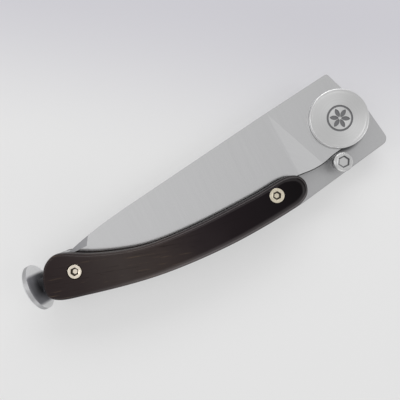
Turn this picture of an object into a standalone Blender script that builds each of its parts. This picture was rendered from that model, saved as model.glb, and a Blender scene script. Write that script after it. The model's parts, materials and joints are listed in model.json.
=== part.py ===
"""Folding pipe knife, closed, lying on its back scale.

Seen from above, +X runs from the butt to the pivot, +Y towards the spine of the closed blade, and +Z
out of the front scale. The outlines are drawn around the pivot axis. The finished knife is then moved
so that the middle of its footprint is the origin.
"""

import math

import bmesh
import bpy
from mathutils import Vector

mm = 0.001

# Clearances
seat_gap = 0.2 * mm  # between pieces that are stacked or clamped
running_gap = 0.15 * mm  # between the blade, its washers and what they turn on
bore_gap = 0.1 * mm  # around pins, screws and sleeves in their bores
slot_gap = 0.5 * mm  # around the closed blade, between the scales
overrun = 3 * mm  # how far a cutter passes the piece that it cuts
weld_distance = 0.005 * mm

# Layers, from the table up
back_scale_thickness = 3.8 * mm
frame_thickness = 2.4 * mm
washer_thickness = 0.3 * mm
blade_thickness = 2.7 * mm
front_scale_thickness = 3.5 * mm
scale_over_blade_gap = 0.3 * mm

frame_bottom = back_scale_thickness + seat_gap
frame_top = frame_bottom + frame_thickness
back_washer_bottom = frame_top + running_gap
blade_bottom = back_washer_bottom + washer_thickness + running_gap
blade_top = blade_bottom + blade_thickness
front_washer_bottom = blade_top + running_gap
disc_bottom = front_washer_bottom + washer_thickness + running_gap
front_scale_bottom = blade_top + scale_over_blade_gap
handle_thickness = front_scale_bottom + front_scale_thickness
spacer_bottom = frame_top + seat_gap
spacer_thickness = front_scale_bottom - seat_gap - spacer_bottom

# Pivot
pivot_disc_diameter = 16.4 * mm
pivot_disc_thickness = 1.1 * mm
pivot_disc_round = 0.25 * mm
pivot_core_diameter = 3.4 * mm  # spigot of the disc and shank of the screw, inside the sleeve
pivot_spigot_length = 3.0 * mm
pivot_sleeve_wall = 1.2 * mm
pivot_screw_head_diameter = 8.0 * mm
pivot_screw_head_height = 1.5 * mm
pivot_socket_width = 2.5 * mm
pivot_socket_depth = 1.1 * mm
washer_width = 2.4 * mm  # across the ring

pivot_sleeve_diameter = pivot_core_diameter + 2 * (bore_gap + pivot_sleeve_wall)
washer_diameter = pivot_sleeve_diameter + 2 * (bore_gap + washer_width)

# Blade
blade_reach = 84.8 * mm  # pivot axis to the tip
heel_rise = 12.8 * mm  # pivot axis to the spine at the heel
edge_drop = 9.9 * mm  # pivot axis to the lowest point of the cutting edge
heel_setback = 7.0 * mm  # pivot axis to the heel's end face
heel_lean = math.radians(19)
heel_corner_radius = 0.9 * mm
tang_swell = 0.9 * mm  # how far the round of the tang passes the heel's end face
tang_end = math.radians(-100)
lowest_edge_share = 0.566
swedge_top_shares = (0.92, 0.211)
# Along the blade from the pivot axis to the tip, and up to the spine at the heel
spine_shares = [(0.236, 0.807), (0.53, 0.571), (0.822, 0.332), swedge_top_shares, (0.971, 0.125),
                (1.0, 0.063)]
# Along the blade as above, and down to the lowest point of the edge
edge_shares = [(0.908, 0.404), (0.802, 0.788), (0.684, 0.97), (lowest_edge_share, 1.0), (0.425, 0.93),
               (0.295, 0.884), (0.195, 0.924), (0.146, 0.96), (0.106, 0.934), (0.065, 0.848)]

tang_radius = heel_setback + tang_swell

# Flat grinds on both faces of the blade
plunge_top_reach = 16.9 * mm  # pivot axis back to the plunge line at the spine
plunge_bottom_reach = 8.6 * mm
plunge_ramp_width = 7.6 * mm  # across the ramp down from the ricasso, at the edge
grind_depth_at_tip = 0.42 * mm
edge_land = 0.08 * mm  # thickness left along the lowest part of the edge
swedge_setback = 6.0 * mm  # tip back to the inner corner of the swedge
swedge_rise_share = 0.03
swedge_land = 0.2 * mm  # thickness left on the spine over the swedge
swedge_run_angle = math.radians(2.5)
swedge_end_angle = math.radians(52)

grind_run = blade_reach - plunge_top_reach
lowest_edge_run = lowest_edge_share * blade_reach - plunge_top_reach
grind_depth_at_edge = (blade_thickness - edge_land) / 2 - grind_depth_at_tip * lowest_edge_run / grind_run

# Scales, laid out around the closed blade and the pivot disc
tip_cover = 8.4 * mm  # tip of the blade to the butt
edge_cover = 7.5 * mm  # lowest point of the edge to the belly
nose_gap = 8.4 * mm  # pivot disc to the nose of the scales
hump_rise = 2.1 * mm  # pivot axis to the highest point of the scales
scale_round = 1.3 * mm
# From butt to nose, and from belly to hump, starting under the nose and running round by the butt
belly_shares = [(0.661, 0.0), (0.384, 0.076), (0.125, 0.29)]
butt_shares = [(0.026, 0.407), (0.0, 0.509), (0.009, 0.753), (0.039, 0.931), (0.081, 1.0), (0.119, 0.957)]
back_shares = [(0.205, 0.779), (0.371, 0.555), (0.556, 0.478), (0.813, 0.478)]
nose_shares = [(0.953, 0.499), (0.988, 0.427), (1.0, 0.305), (0.987, 0.158), (0.953, 0.076), (0.906, 0.046)]

butt_reach = blade_reach + tip_cover
belly_drop = edge_drop + edge_cover
nose_reach = pivot_disc_diameter / 2 + nose_gap

# Stop screw, beside the pivot disc
stop_gap = 1.13 * mm  # disc to the stop screw's head
stop_bearing = math.radians(-111.45)  # direction from the pivot axis
stop_shoulder_diameter = 3.2 * mm
stop_head_diameter = 5.4 * mm
stop_head_height = 1.5 * mm
stop_socket_width = 2.6 * mm
stop_socket_depth = 1.1 * mm

stop_distance = (pivot_disc_diameter + stop_head_diameter) / 2 + stop_gap
stop_x = stop_distance * math.cos(stop_bearing)
stop_y = stop_distance * math.sin(stop_bearing)

# Frame plate
front_rim = 3.6 * mm  # disc to the front corner, along the handle
front_corner_radius = 2.0 * mm
front_edge_slope = math.radians(9.6)  # lower edge, rising towards the front
front_end_lean = math.radians(7.8)  # end edge, leaning back towards the pivot
stop_land = 0.69 * mm  # stop screw's head to the lower edge
ear_rim = 0.6 * mm  # how far the ear's radius passes the disc's
ear_start = math.radians(138)
edge_break = 0.2 * mm
# From the pivot axis back to the nose of the scales, and down to their belly
frame_neck_shares = [(1.27, 0.437), (0.92, 0.27), (0.58, -0.02)]
frame_heel_shares = [(1.16, 0.975), (1.62, 0.993)]

front_reach = pivot_disc_diameter / 2 + front_rim
edge_below_stop = stop_head_diameter / 2 + stop_land - (front_reach - stop_x) * math.sin(front_edge_slope)
front_drop = edge_below_stop / math.cos(front_edge_slope) - stop_y
ear_radius = pivot_disc_diameter / 2 + ear_rim

# Scale screws and their threaded sleeves, fore and aft. A rise share is taken from belly to hump.
fore_screw_inset = 8.8 * mm  # nose to the fore screw
fore_screw_rise_share = 0.328
aft_screw_inset = 9.7 * mm  # butt to the aft screw
aft_screw_rise_share = 0.662
screw_head_diameter = 4.1 * mm
screw_head_height = 1.3 * mm
screw_head_recess = 0.1 * mm
screw_shank_diameter = 1.5 * mm
screw_shank_length = 3.6 * mm
screw_socket_width = 2.1 * mm
screw_socket_depth = 0.9 * mm
screw_edge_round = 0.2 * mm
sleeve_wall = 0.35 * mm

# Tamper, spacer and their dowels
tamper_diameter = 13.4 * mm
tamper_thickness = 2.0 * mm
tamper_edge = 0.45 * mm
tamper_stand_off = 2.8 * mm  # butt to the inner face of the tamper's foot
tamper_rise_share = 0.697
tamper_neck_diameter = 5.2 * mm
tamper_flare_angle = math.radians(20)  # inner face of the foot, leaning back from its rim
tongue_root_inset = 0.7 * mm  # side of the neck to the side of the tongue
tongue_past_screw = 3.6 * mm  # how far the tamper's tongue passes the aft screw's axis
dowel_diameter = 1.8 * mm
tamper_dowel_inset = 3.8 * mm  # butt to the tamper's dowel
tamper_dowel_rise_share = 0.677
spacer_dowel_run_share = 0.486  # from butt to nose
spacer_dowel_rise_share = 0.195
spacer_inset = 0.2 * mm

# Facets
loop_steps = 4
arc_steps = 6
ear_steps = 14
large_turn_steps = 56
turn_steps = 32
small_turn_steps = 24
round_segments = 3
hexagon_sides = 6
flat_angle = math.radians(0.2)  # faces that meet at less are merged
edge_angle = math.radians(50)  # edges that turn by more are broken
smooth_angle = math.radians(30)

steel_finish = {"colour": (0.52, 0.53, 0.55), "metallic": 1.0, "roughness": 0.32}
plate_finish = {"colour": (0.36, 0.365, 0.38), "metallic": 1.0, "roughness": 0.4}
ebony_finish = {"colour": (0.018, 0.013, 0.012), "metallic": 0.0, "roughness": 0.35}
nickel_finish = {"colour": (0.66, 0.58, 0.46), "metallic": 1.0, "roughness": 0.25}
bronze_finish = {"colour": (0.55, 0.36, 0.16), "metallic": 1.0, "roughness": 0.4}


def clear_scene():
    for old in list(bpy.data.objects):
        bpy.data.objects.remove(old)


def new_collection(name):
    group = bpy.data.collections.new(name)
    bpy.context.scene.collection.children.link(group)
    return group


def new_material(name, finish):
    material = bpy.data.materials.new(name)
    material.use_nodes = True
    shader = material.node_tree.nodes["Principled BSDF"]
    shader.inputs["Base Color"].default_value = (*finish["colour"], 1.0)
    shader.inputs["Metallic"].default_value = finish["metallic"]
    shader.inputs["Roughness"].default_value = finish["roughness"]
    return material


# Outlines

def between(low, high, share):
    return low + (high - low) * share


def spline_point(p0, p1, p2, p3, share):
    """Point between p1 and p2 on the centripetal curve through four knots."""
    t1 = (p1 - p0).length ** 0.5
    t2 = t1 + (p2 - p1).length ** 0.5
    t3 = t2 + (p3 - p2).length ** 0.5
    t = between(t1, t2, share)
    a1 = p0.lerp(p1, t / t1)
    a2 = p1.lerp(p2, (t - t1) / (t2 - t1))
    a3 = p2.lerp(p3, (t - t2) / (t3 - t2))
    b1 = a1.lerp(a2, t / t2)
    b2 = a2.lerp(a3, (t - t1) / (t3 - t1))
    return b1.lerp(b2, (t - t1) / (t2 - t1))


def smooth_loop(knots, steps):
    count = len(knots)
    points = []
    for i in range(count):
        near = [knots[(i + k) % count] for k in (-1, 0, 1, 2)]
        points += [spline_point(*near, s / steps) for s in range(steps)]
    return points


def smooth_run(knots, steps):
    """Open curve through the knots, both ends included."""
    ends = [knots[0] * 2 - knots[1], *knots, knots[-1] * 2 - knots[-2]]
    points = []
    for i in range(len(knots) - 1):
        points += [spline_point(*ends[i:i + 4], s / steps) for s in range(steps)]
    return points + [knots[-1]]


def on_circle(centre, radius, angle):
    return centre + Vector((math.cos(angle), math.sin(angle))) * radius


def arc(centre, radius, start, end, steps):
    return [on_circle(centre, radius, between(start, end, s / steps)) for s in range(steps + 1)]


def rounded_corner(before, corner, after, radius, steps):
    """Points of the fillet that takes the place of a corner."""
    inward = (before - corner).normalized()
    outward = (after - corner).normalized()
    half = inward.angle(outward) / 2
    middle = corner + (inward + outward).normalized() * (radius / math.sin(half))
    first = corner + inward * (radius / math.tan(half)) - middle
    turn = math.pi - 2 * half
    side = 1 if inward.cross(outward) < 0 else -1
    start = math.atan2(first.y, first.x)
    return arc(middle, radius, start, start + side * turn, steps)


def moved_outline(points, distance):
    """Closed outline moved along its own normals, outwards when distance is positive."""
    area = sum(a.cross(b) for a, b in zip(points, points[1:] + points[:1]))
    side = 1 if area > 0 else -1
    moved = []
    for i, point in enumerate(points):
        run = (points[(i + 1) % len(points)] - points[i - 1]).normalized()
        moved.append(point + Vector((run.y, -run.x)) * side * distance)
    return moved


def handle_point(reach, rise_share):
    return Vector((-reach, between(-belly_drop, hump_rise, rise_share), 0))


def scale_knots(shares):
    return [handle_point(between(butt_reach, nose_reach, x), y).to_2d() for x, y in shares]


def scale_outline():
    return smooth_loop(scale_knots(belly_shares + butt_shares + back_shares + nose_shares), loop_steps)


def frame_outline():
    """Tail under the scales, neck, ear round the pivot, end edge and lower edge."""
    corner = Vector((front_reach, -front_drop))
    radius = front_corner_radius
    up_the_end = Vector((-math.sin(front_end_lean), math.cos(front_end_lean)))
    end_distance = corner.x * math.cos(front_end_lean) + corner.y * math.sin(front_end_lean)
    ear_centre = Vector(((end_distance - ear_radius) / math.cos(front_end_lean), 0))
    back_along_edge = -Vector((math.cos(front_edge_slope), math.sin(front_edge_slope)))
    ear = arc(ear_centre, ear_radius, ear_start, front_end_lean, ear_steps)
    front = rounded_corner(corner + up_the_end, corner, corner + back_along_edge, radius, arc_steps)
    neck = [Vector((-x * nose_reach, -y * belly_drop)) for x, y in frame_neck_shares]
    heel = [Vector((-x * nose_reach, -y * belly_drop)) for x, y in frame_heel_shares]
    tail = heel + scale_knots(belly_shares + butt_shares + back_shares) + neck
    return smooth_run(tail, loop_steps) + ear + front


def blade_outline():
    """Spine from tip to heel, heel corner, end face, round of the tang, then the edge back to the tip."""
    normal = Vector((math.cos(heel_lean), math.sin(heel_lean)))
    along = Vector((-normal.y, normal.x))
    corner = normal * heel_setback + along * ((heel_rise - heel_setback * normal.y) / along.y)
    spine = [Vector((-x * blade_reach, y * heel_rise)) for x, y in reversed(spine_shares)]
    edge = [Vector((-x * blade_reach, -y * edge_drop)) for x, y in reversed(edge_shares)]
    heel = rounded_corner(spine[-1], corner, normal * heel_setback, heel_corner_radius, arc_steps)
    tang_start = heel_lean - math.acos(heel_setback / tang_radius)
    tang = arc(Vector((0, 0)), tang_radius, tang_start, tang_end, arc_steps)
    back = smooth_run(spine + heel[:1], loop_steps)
    belly = smooth_run(tang[-1:] + edge + spine[:1], loop_steps)
    return back + heel[1:] + tang + belly[1:-1]


# Solids

def add_object(name, mesh, group, material=None):
    piece = bpy.data.objects.new(name, mesh)
    group.objects.link(piece)
    piece.parent = knife
    if material:
        mesh.materials.append(material)
    if group is cutters:
        piece.hide_render = True
        piece.display_type = "WIRE"
    return piece


def slab(name, outline, thickness, bottom, group, material=None):
    """Flat piece: the outline as a filled 2D curve, made a mesh with one face at each side."""
    curve = bpy.data.curves.new(name, "CURVE")
    curve.dimensions = "2D"
    curve.fill_mode = "BOTH"
    curve.extrude = thickness / 2
    spline = curve.splines.new("POLY")
    spline.points.add(len(outline) - 1)
    for knot, point in zip(spline.points, outline):
        knot.co = (point.x, point.y, 0, 1)
    spline.use_cyclic_u = True
    drawn = bpy.data.objects.new(name, curve)
    group.objects.link(drawn)
    depsgraph = bpy.context.evaluated_depsgraph_get()
    mesh = bpy.data.meshes.new_from_object(drawn.evaluated_get(depsgraph))
    bpy.data.objects.remove(drawn)
    work = bmesh.new()
    work.from_mesh(mesh)
    bmesh.ops.remove_doubles(work, verts=work.verts, dist=weld_distance)
    bmesh.ops.dissolve_limit(work, angle_limit=flat_angle, verts=work.verts, edges=work.edges)
    bmesh.ops.recalc_face_normals(work, faces=work.faces)
    work.to_mesh(mesh)
    work.free()
    piece = add_object(name, mesh, group, material)
    piece.location.z = bottom + thickness / 2
    return piece


def turned(name, profile, steps, place, group, material=None):
    """Turned piece about its own Z: the profile runs down its outer side, as (radius, height)."""
    mesh = bpy.data.meshes.new(name)
    corners = [(radius, 0, height) for radius, height in profile]
    closed = profile[0][0] > 0
    links = [(i, i + 1) for i in range(len(corners) - 1)]
    if closed:
        links.append((len(corners) - 1, 0))
    mesh.from_pydata(corners, links, [])
    piece = add_object(name, mesh, group, material)
    piece.location = place
    screw = piece.modifiers.new("turn", "SCREW")
    screw.steps = steps
    screw.render_steps = steps
    screw.use_merge_vertices = True
    screw.merge_threshold = weld_distance
    return piece


def hexagon(name, width, depth, place):
    """Cutter for a hexagon socket, standing up from its place, as wide across its flats as given."""
    mesh = bpy.data.meshes.new(name)
    work = bmesh.new()
    sides = hexagon_sides
    radius = width / 2 / math.cos(math.pi / sides)
    bmesh.ops.create_cone(work, cap_ends=True, segments=sides, radius1=radius, radius2=radius, depth=depth)
    bmesh.ops.translate(work, verts=work.verts, vec=(0, 0, depth / 2))
    work.to_mesh(mesh)
    work.free()
    piece = add_object(name, mesh, cutters)
    piece.location = place
    return piece


def block(name, low, high, group):
    mesh = bpy.data.meshes.new(name)
    work = bmesh.new()
    bmesh.ops.create_cube(work, size=1)
    bmesh.ops.scale(work, verts=work.verts, vec=high - low)
    work.to_mesh(mesh)
    work.free()
    piece = add_object(name, mesh, group)
    piece.location = (low + high) / 2
    return piece


def boolean(piece, tool, operation="DIFFERENCE"):
    cut = piece.modifiers.new(tool.name, "BOOLEAN")
    cut.operation = operation
    cut.solver = "EXACT"
    cut.object = tool


def break_edges(piece, width, segments, weighted=False):
    bevel = piece.modifiers.new("edges", "BEVEL")
    bevel.width = width
    bevel.segments = segments
    bevel.use_clamp_overlap = False
    bevel.limit_method = "WEIGHT" if weighted else "ANGLE"
    bevel.angle_limit = edge_angle


def weigh_rim(piece, side):
    """Marks the rim of the upper (1) or lower (-1) face for a weighted bevel."""
    work = bmesh.new()
    work.from_mesh(piece.data)
    weight = work.edges.layers.float.new("bevel_weight_edge")
    for edge in work.edges:
        if all(vertex.co.z * side > 0 for vertex in edge.verts):
            edge[weight] = 1.0
    work.to_mesh(piece.data)
    work.free()


def rounded_rim(radius, top, round_size):
    """Profile from the axis across the top face and round its rim."""
    centre = Vector((radius - round_size, top - round_size))
    return [(0, top)] + [tuple(point) for point in arc(centre, round_size, math.pi / 2, 0, arc_steps // 2)]


# Pieces

def screw_channel(name, place):
    """Cutter for one pair of scale screws: a counterbore in each scale and the sleeve's bore between."""
    head = screw_head_diameter / 2 + bore_gap
    bore = screw_shank_diameter / 2 + bore_gap + sleeve_wall + bore_gap
    depth = screw_head_recess + screw_head_height + seat_gap
    upper = handle_thickness - depth
    above = handle_thickness + overrun
    profile = [(0, above), (head, above), (head, upper), (bore, upper), (bore, depth), (head, depth),
               (head, -overrun), (0, -overrun)]
    return turned(name, profile, small_turn_steps, place, cutters)


def make_scales(channels):
    outline = scale_outline()
    pieces = [slab("front_scale", outline, front_scale_thickness, front_scale_bottom, parts, ebony),
              slab("back_scale", outline, back_scale_thickness, 0, parts, ebony)]
    for piece, side in zip(pieces, (1, -1)):
        weigh_rim(piece, side)
        break_edges(piece, scale_round, round_segments, weighted=True)
        for channel in channels:
            boolean(piece, channel)


def make_frame_plate(channels, dowel_bores, stop_bore):
    plate = slab("frame_plate", frame_outline(), frame_thickness, frame_bottom, parts, plate_steel)
    break_edges(plate, edge_break, 1)
    radius = pivot_sleeve_diameter / 2 + bore_gap
    pivot_bore = bore_cutter("frame_pivot_bore", radius, frame_bottom, frame_top, Vector((0, 0, 0)))
    for cutter in [*channels, *dowel_bores, stop_bore, pivot_bore]:
        boolean(plate, cutter)


def bore_cutter(name, radius, low, high, place):
    profile = [(0, high + overrun), (radius, high + overrun), (radius, low - overrun), (0, low - overrun)]
    return turned(name, profile, turn_steps, place, cutters)


def plunge_top_point():
    return Vector((-plunge_top_reach, between(heel_rise, 0, plunge_top_reach / blade_reach)))


def ground_depth(point):
    """How far the flat grind lies below the blade's face at a point."""
    top = plunge_top_point()
    across = (top.y - point.y) / (top.y + edge_drop)
    return grind_depth_at_edge * across + grind_depth_at_tip * (top.x - point.x) / grind_run


def grind_cutter(name, side):
    """Slab whose lower face is the plane of the flat grind.

    Its side at the plunge leans out, and leaves a ramp that widens from the spine to the edge.
    """
    plunge_top = plunge_top_point()
    width = edge_drop + plunge_top.y
    ricasso_run = Vector((plunge_top_reach - plunge_bottom_reach, -width))
    ramp_run = ricasso_run - Vector((plunge_ramp_width, 0))
    past_edge = overrun / ramp_run.length
    above = ramp_run * -past_edge
    below = ramp_run * (1 + past_edge)
    back_x = plunge_top_reach - blade_reach - overrun
    outline = [above, below, Vector((back_x, below.y)), Vector((back_x, above.y))]
    tool = slab(name, outline, overrun, 0, cutters)
    lean = overrun * plunge_ramp_width / grind_depth_at_edge
    for vertex in tool.data.vertices:
        at_plunge = vertex.co.x > back_x / 2
        if at_plunge and vertex.co.z > 0:
            vertex.co.x += lean
        vertex.co.z += overrun / 2
    slope = math.atan2(grind_depth_at_edge, width)
    taper = math.atan2(grind_depth_at_tip, grind_run)
    face = blade_top if side > 0 else blade_bottom
    tool.location = (plunge_top.x, plunge_top.y, face)
    tool.rotation_euler = (side * slope, -side * taper, 0)
    tool.scale.z = side
    return tool


def swedge_cutter(name, side):
    """Slab tilted about the inner line of the swedge, which runs from its inner corner past the tip."""
    inner = Vector((swedge_setback - blade_reach, swedge_rise_share * heel_rise))
    depth = ground_depth(inner)
    cut = (blade_thickness - swedge_land) / 2 - depth
    angle = math.atan2(cut, swedge_top_shares[1] * heel_rise - inner.y)
    length = swedge_setback + overrun
    height = heel_rise
    lean = height / math.tan(swedge_end_angle)
    outline = [Vector((0, 0)), Vector((lean, height)), Vector((-length, height)), Vector((-length, 0))]
    tool = slab(name, outline, overrun, 0, cutters)
    for vertex in tool.data.vertices:
        vertex.co.z += overrun / 2
    tool.location = (inner.x, inner.y, blade_top - depth if side > 0 else blade_bottom + depth)
    tool.rotation_euler = (-side * angle, 0, swedge_run_angle)
    tool.scale.z = side
    return tool


def make_blade():
    blade = slab("blade", blade_outline(), blade_thickness, 0, parts, blade_steel)
    blade.parent = blade_axis
    blade.location = (0, 0, blade_thickness / 2)
    radius = pivot_sleeve_diameter / 2 + bore_gap
    bore = bore_cutter("blade_bore", radius, blade_bottom, blade_top, Vector((0, 0, 0)))
    for side, face in ((1, "front"), (-1, "back")):
        boolean(blade, grind_cutter(f"{face}_grind", side))
        boolean(blade, swedge_cutter(f"{face}_swedge", side))
    boolean(blade, bore)


def make_spacer_and_tamper(channels, dowel_bores):
    outline = moved_outline(scale_outline(), -spacer_inset)
    slot = slab("blade_slot", moved_outline(blade_outline(), slot_gap), spacer_thickness + 2 * overrun,
                spacer_bottom - overrun, cutters)
    tongue_end = -butt_reach + aft_screw_inset + tongue_past_screw
    low = Vector((-butt_reach - overrun, -belly_drop - overrun, spacer_bottom - overrun))
    high = Vector((tongue_end, hump_rise + overrun, spacer_bottom + spacer_thickness + overrun))
    tail = block("tail_block", low, high, cutters)
    wider_tail = block("wider_tail_block", low, high + Vector((seat_gap, 0, 0)), cutters)

    spacer = slab("spacer", outline, spacer_thickness, spacer_bottom, parts, plate_steel)
    for cutter in (slot, wider_tail, channels[0], dowel_bores[0]):
        boolean(spacer, cutter)

    tamper = slab("tamper", outline, spacer_thickness, spacer_bottom, parts, tamper_steel)
    boolean(tamper, tail, "INTERSECT")
    for cutter in (slot, channels[1], dowel_bores[1]):
        boolean(tamper, cutter)
    for addition in (tongue_root(), tamper_foot()):
        boolean(tamper, addition, "UNION")


def tongue_root():
    """Bar that carries the tongue out of the butt and into the neck."""
    half = tamper_neck_diameter / 2 - tongue_root_inset
    root = handle_point(butt_reach, tamper_rise_share)
    low = root + Vector((-tamper_stand_off, -half, spacer_bottom))
    high = root + Vector((half, half, spacer_bottom + spacer_thickness))
    return block("tongue_root", low, high, cutters)


def tamper_foot():
    """Turned foot of the tamper, which narrows in one hollow curve to its neck, its axis along the handle."""
    radius = tamper_diameter / 2
    rim = radius - tamper_edge
    neck = tamper_neck_diameter / 2
    stand = tamper_stand_off
    lean = math.tan(tamper_flare_angle)
    curve_radius = (stand - seat_gap - (rim - neck) * lean) / (1 / math.cos(tamper_flare_angle) - lean)
    middle = Vector((neck + curve_radius, seat_gap))
    hollow = arc(middle, curve_radius, math.pi / 2 + tamper_flare_angle, math.pi, arc_steps)
    top = [(0, stand + tamper_thickness), (rim, stand + tamper_thickness),
           (radius, stand + tamper_thickness - tamper_edge), (radius, stand + tamper_edge), (rim, stand)]
    profile = top + [tuple(point) for point in hollow] + [(0, seat_gap)]
    place = handle_point(butt_reach, tamper_rise_share) + Vector((0, 0, handle_thickness / 2))
    foot = turned("tamper_foot", profile, large_turn_steps, place, cutters)
    foot.rotation_euler = (0, -math.pi / 2, 0)
    return foot


def make_pivot():
    gap = bore_gap
    core = pivot_core_diameter / 2
    rim = rounded_rim(pivot_disc_diameter / 2, pivot_disc_thickness, pivot_disc_round)
    profile = rim + [(pivot_disc_diameter / 2, 0), (core, 0), (core, -pivot_spigot_length),
                     (0, -pivot_spigot_length)]
    turned("pivot_disc", profile, large_turn_steps, (0, 0, disc_bottom), parts, disc_steel)

    outer = pivot_sleeve_diameter / 2
    inner = core + gap
    sleeve_top = disc_bottom - seat_gap
    profile = [(outer, sleeve_top), (outer, frame_bottom), (inner, frame_bottom), (inner, sleeve_top)]
    turned("pivot_sleeve", profile, turn_steps, (0, 0, 0), parts, screw_steel)

    head = pivot_screw_head_diameter / 2
    under = frame_bottom - seat_gap
    below = under - pivot_screw_head_height
    tip = disc_bottom - pivot_spigot_length - seat_gap
    profile = [(0, tip), (core, tip), (core, under), (head, under),
               (head, below + screw_edge_round), (head - screw_edge_round, below), (0, below)]
    screw = turned("pivot_screw", profile, turn_steps, (0, 0, 0), parts, screw_steel)
    place = (0, 0, below - overrun)
    depth = pivot_socket_depth + overrun
    boolean(screw, hexagon("pivot_socket", pivot_socket_width, depth, place))

    ring = washer_diameter / 2
    bore = outer + gap
    profile = [(ring, washer_thickness), (ring, 0), (bore, 0), (bore, washer_thickness)]
    turned("back_washer", profile, turn_steps, (0, 0, back_washer_bottom), parts, bronze)
    turned("front_washer", profile, turn_steps, (0, 0, front_washer_bottom), parts, bronze)


def make_stop_screw():
    head = stop_head_diameter / 2
    shoulder = stop_shoulder_diameter / 2
    under = blade_top + running_gap
    top = under + stop_head_height
    profile = rounded_rim(head, top, screw_edge_round)
    profile += [(head, under), (shoulder, under), (shoulder, frame_bottom), (0, frame_bottom)]
    place = Vector((stop_x, stop_y, 0))
    screw = turned("stop_screw", profile, turn_steps, place, parts, screw_steel)
    floor = place + Vector((0, 0, top - stop_socket_depth))
    boolean(screw, hexagon("stop_socket", stop_socket_width, stop_socket_depth + overrun, floor))
    return bore_cutter("stop_bore", shoulder + bore_gap, frame_bottom, frame_top, place)


def make_scale_screws(position, place):
    """The front and back screw of one place, and the threaded sleeve between them."""
    head = screw_head_diameter / 2
    shank = screw_shank_diameter / 2
    inner = shank + bore_gap
    outer = inner + sleeve_wall
    under = handle_thickness - screw_head_recess - screw_head_height
    profile = rounded_rim(head, screw_head_height, screw_edge_round)
    profile += [(head, 0), (shank, 0), (shank, -screw_shank_length), (0, -screw_shank_length)]
    floor = Vector((0, 0, screw_head_height - screw_socket_depth))
    depth = screw_socket_depth + overrun
    for side, height, tilt in (("front", under, 0), ("back", handle_thickness - under, math.pi)):
        at = place + Vector((0, 0, height))
        screw = turned(f"{side}_{position}_screw", profile, small_turn_steps, at, parts, nickel)
        screw.rotation_euler.x = tilt
        at = at + floor if side == "front" else at - floor
        socket = hexagon(f"{side}_{position}_socket", screw_socket_width, depth, at)
        socket.rotation_euler.x = tilt
        boolean(screw, socket)
    low = handle_thickness - under + seat_gap
    high = under - seat_gap
    profile = [(outer, high), (outer, low), (inner, low), (inner, high)]
    turned(f"{position}_sleeve", profile, small_turn_steps, place, parts, nickel)


def make_dowel(name, place):
    radius = dowel_diameter / 2
    high = spacer_bottom + spacer_thickness
    profile = [(0, high), (radius, high), (radius, frame_bottom), (0, frame_bottom)]
    turned(name, profile, small_turn_steps, place, parts, screw_steel)
    return bore_cutter(f"{name}_bore", radius + bore_gap, frame_bottom, high, place)


def part_objects():
    return [piece for piece in parts.objects if piece.type == "MESH"]


def smooth_shading():
    for piece in part_objects():
        piece.data.shade_smooth()
        piece.data.set_sharp_from_angle(angle=smooth_angle)


def stand_on_footprint():
    """Moves the knife so that the middle of its footprint, on the table, is the origin."""
    bpy.context.view_layer.update()
    depsgraph = bpy.context.evaluated_depsgraph_get()
    corners = []
    for piece in part_objects():
        solid = piece.evaluated_get(depsgraph)
        mesh = solid.to_mesh()
        corners += [solid.matrix_world @ vertex.co for vertex in mesh.vertices]
        solid.to_mesh_clear()
    low = Vector([min(corner[i] for corner in corners) for i in range(3)])
    high = Vector([max(corner[i] for corner in corners) for i in range(3)])
    knife.location = (-(low.x + high.x) / 2, -(low.y + high.y) / 2, -low.z)
    bpy.context.view_layer.update()


clear_scene()
parts = new_collection("pipe_knife")
cutters = new_collection("cutters")
knife = bpy.data.objects.new("knife", None)
parts.objects.link(knife)
blade_axis = bpy.data.objects.new("blade_axis", None)
blade_axis.parent = knife
blade_axis.location.z = blade_bottom
parts.objects.link(blade_axis)

ebony = new_material("ebony", ebony_finish)
plate_steel = new_material("plate_steel", plate_finish)
blade_steel = new_material("blade_steel", steel_finish)
tamper_steel = new_material("tamper_steel", steel_finish)
disc_steel = new_material("disc_steel", steel_finish)
screw_steel = new_material("screw_steel", steel_finish)
nickel = new_material("nickel", nickel_finish)
bronze = new_material("bronze", bronze_finish)

fore_place = handle_point(nose_reach + fore_screw_inset, fore_screw_rise_share)
aft_place = handle_point(butt_reach - aft_screw_inset, aft_screw_rise_share)
spacer_dowel_reach = between(butt_reach, nose_reach, spacer_dowel_run_share)
screw_channels = [screw_channel("fore_channel", fore_place), screw_channel("aft_channel", aft_place)]
tamper_dowel_reach = butt_reach - tamper_dowel_inset
dowels = [make_dowel("spacer_dowel", handle_point(spacer_dowel_reach, spacer_dowel_rise_share)),
          make_dowel("tamper_dowel", handle_point(tamper_dowel_reach, tamper_dowel_rise_share))]
make_scales(screw_channels)
make_frame_plate(screw_channels, dowels, make_stop_screw())
make_spacer_and_tamper(screw_channels, dowels)
make_scale_screws("fore", fore_place)
make_scale_screws("aft", aft_place)
make_pivot()
make_blade()
smooth_shading()
stand_on_footprint()
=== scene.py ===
import json
import math

import bmesh
import bpy
from mathutils import Matrix, Vector

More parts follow.
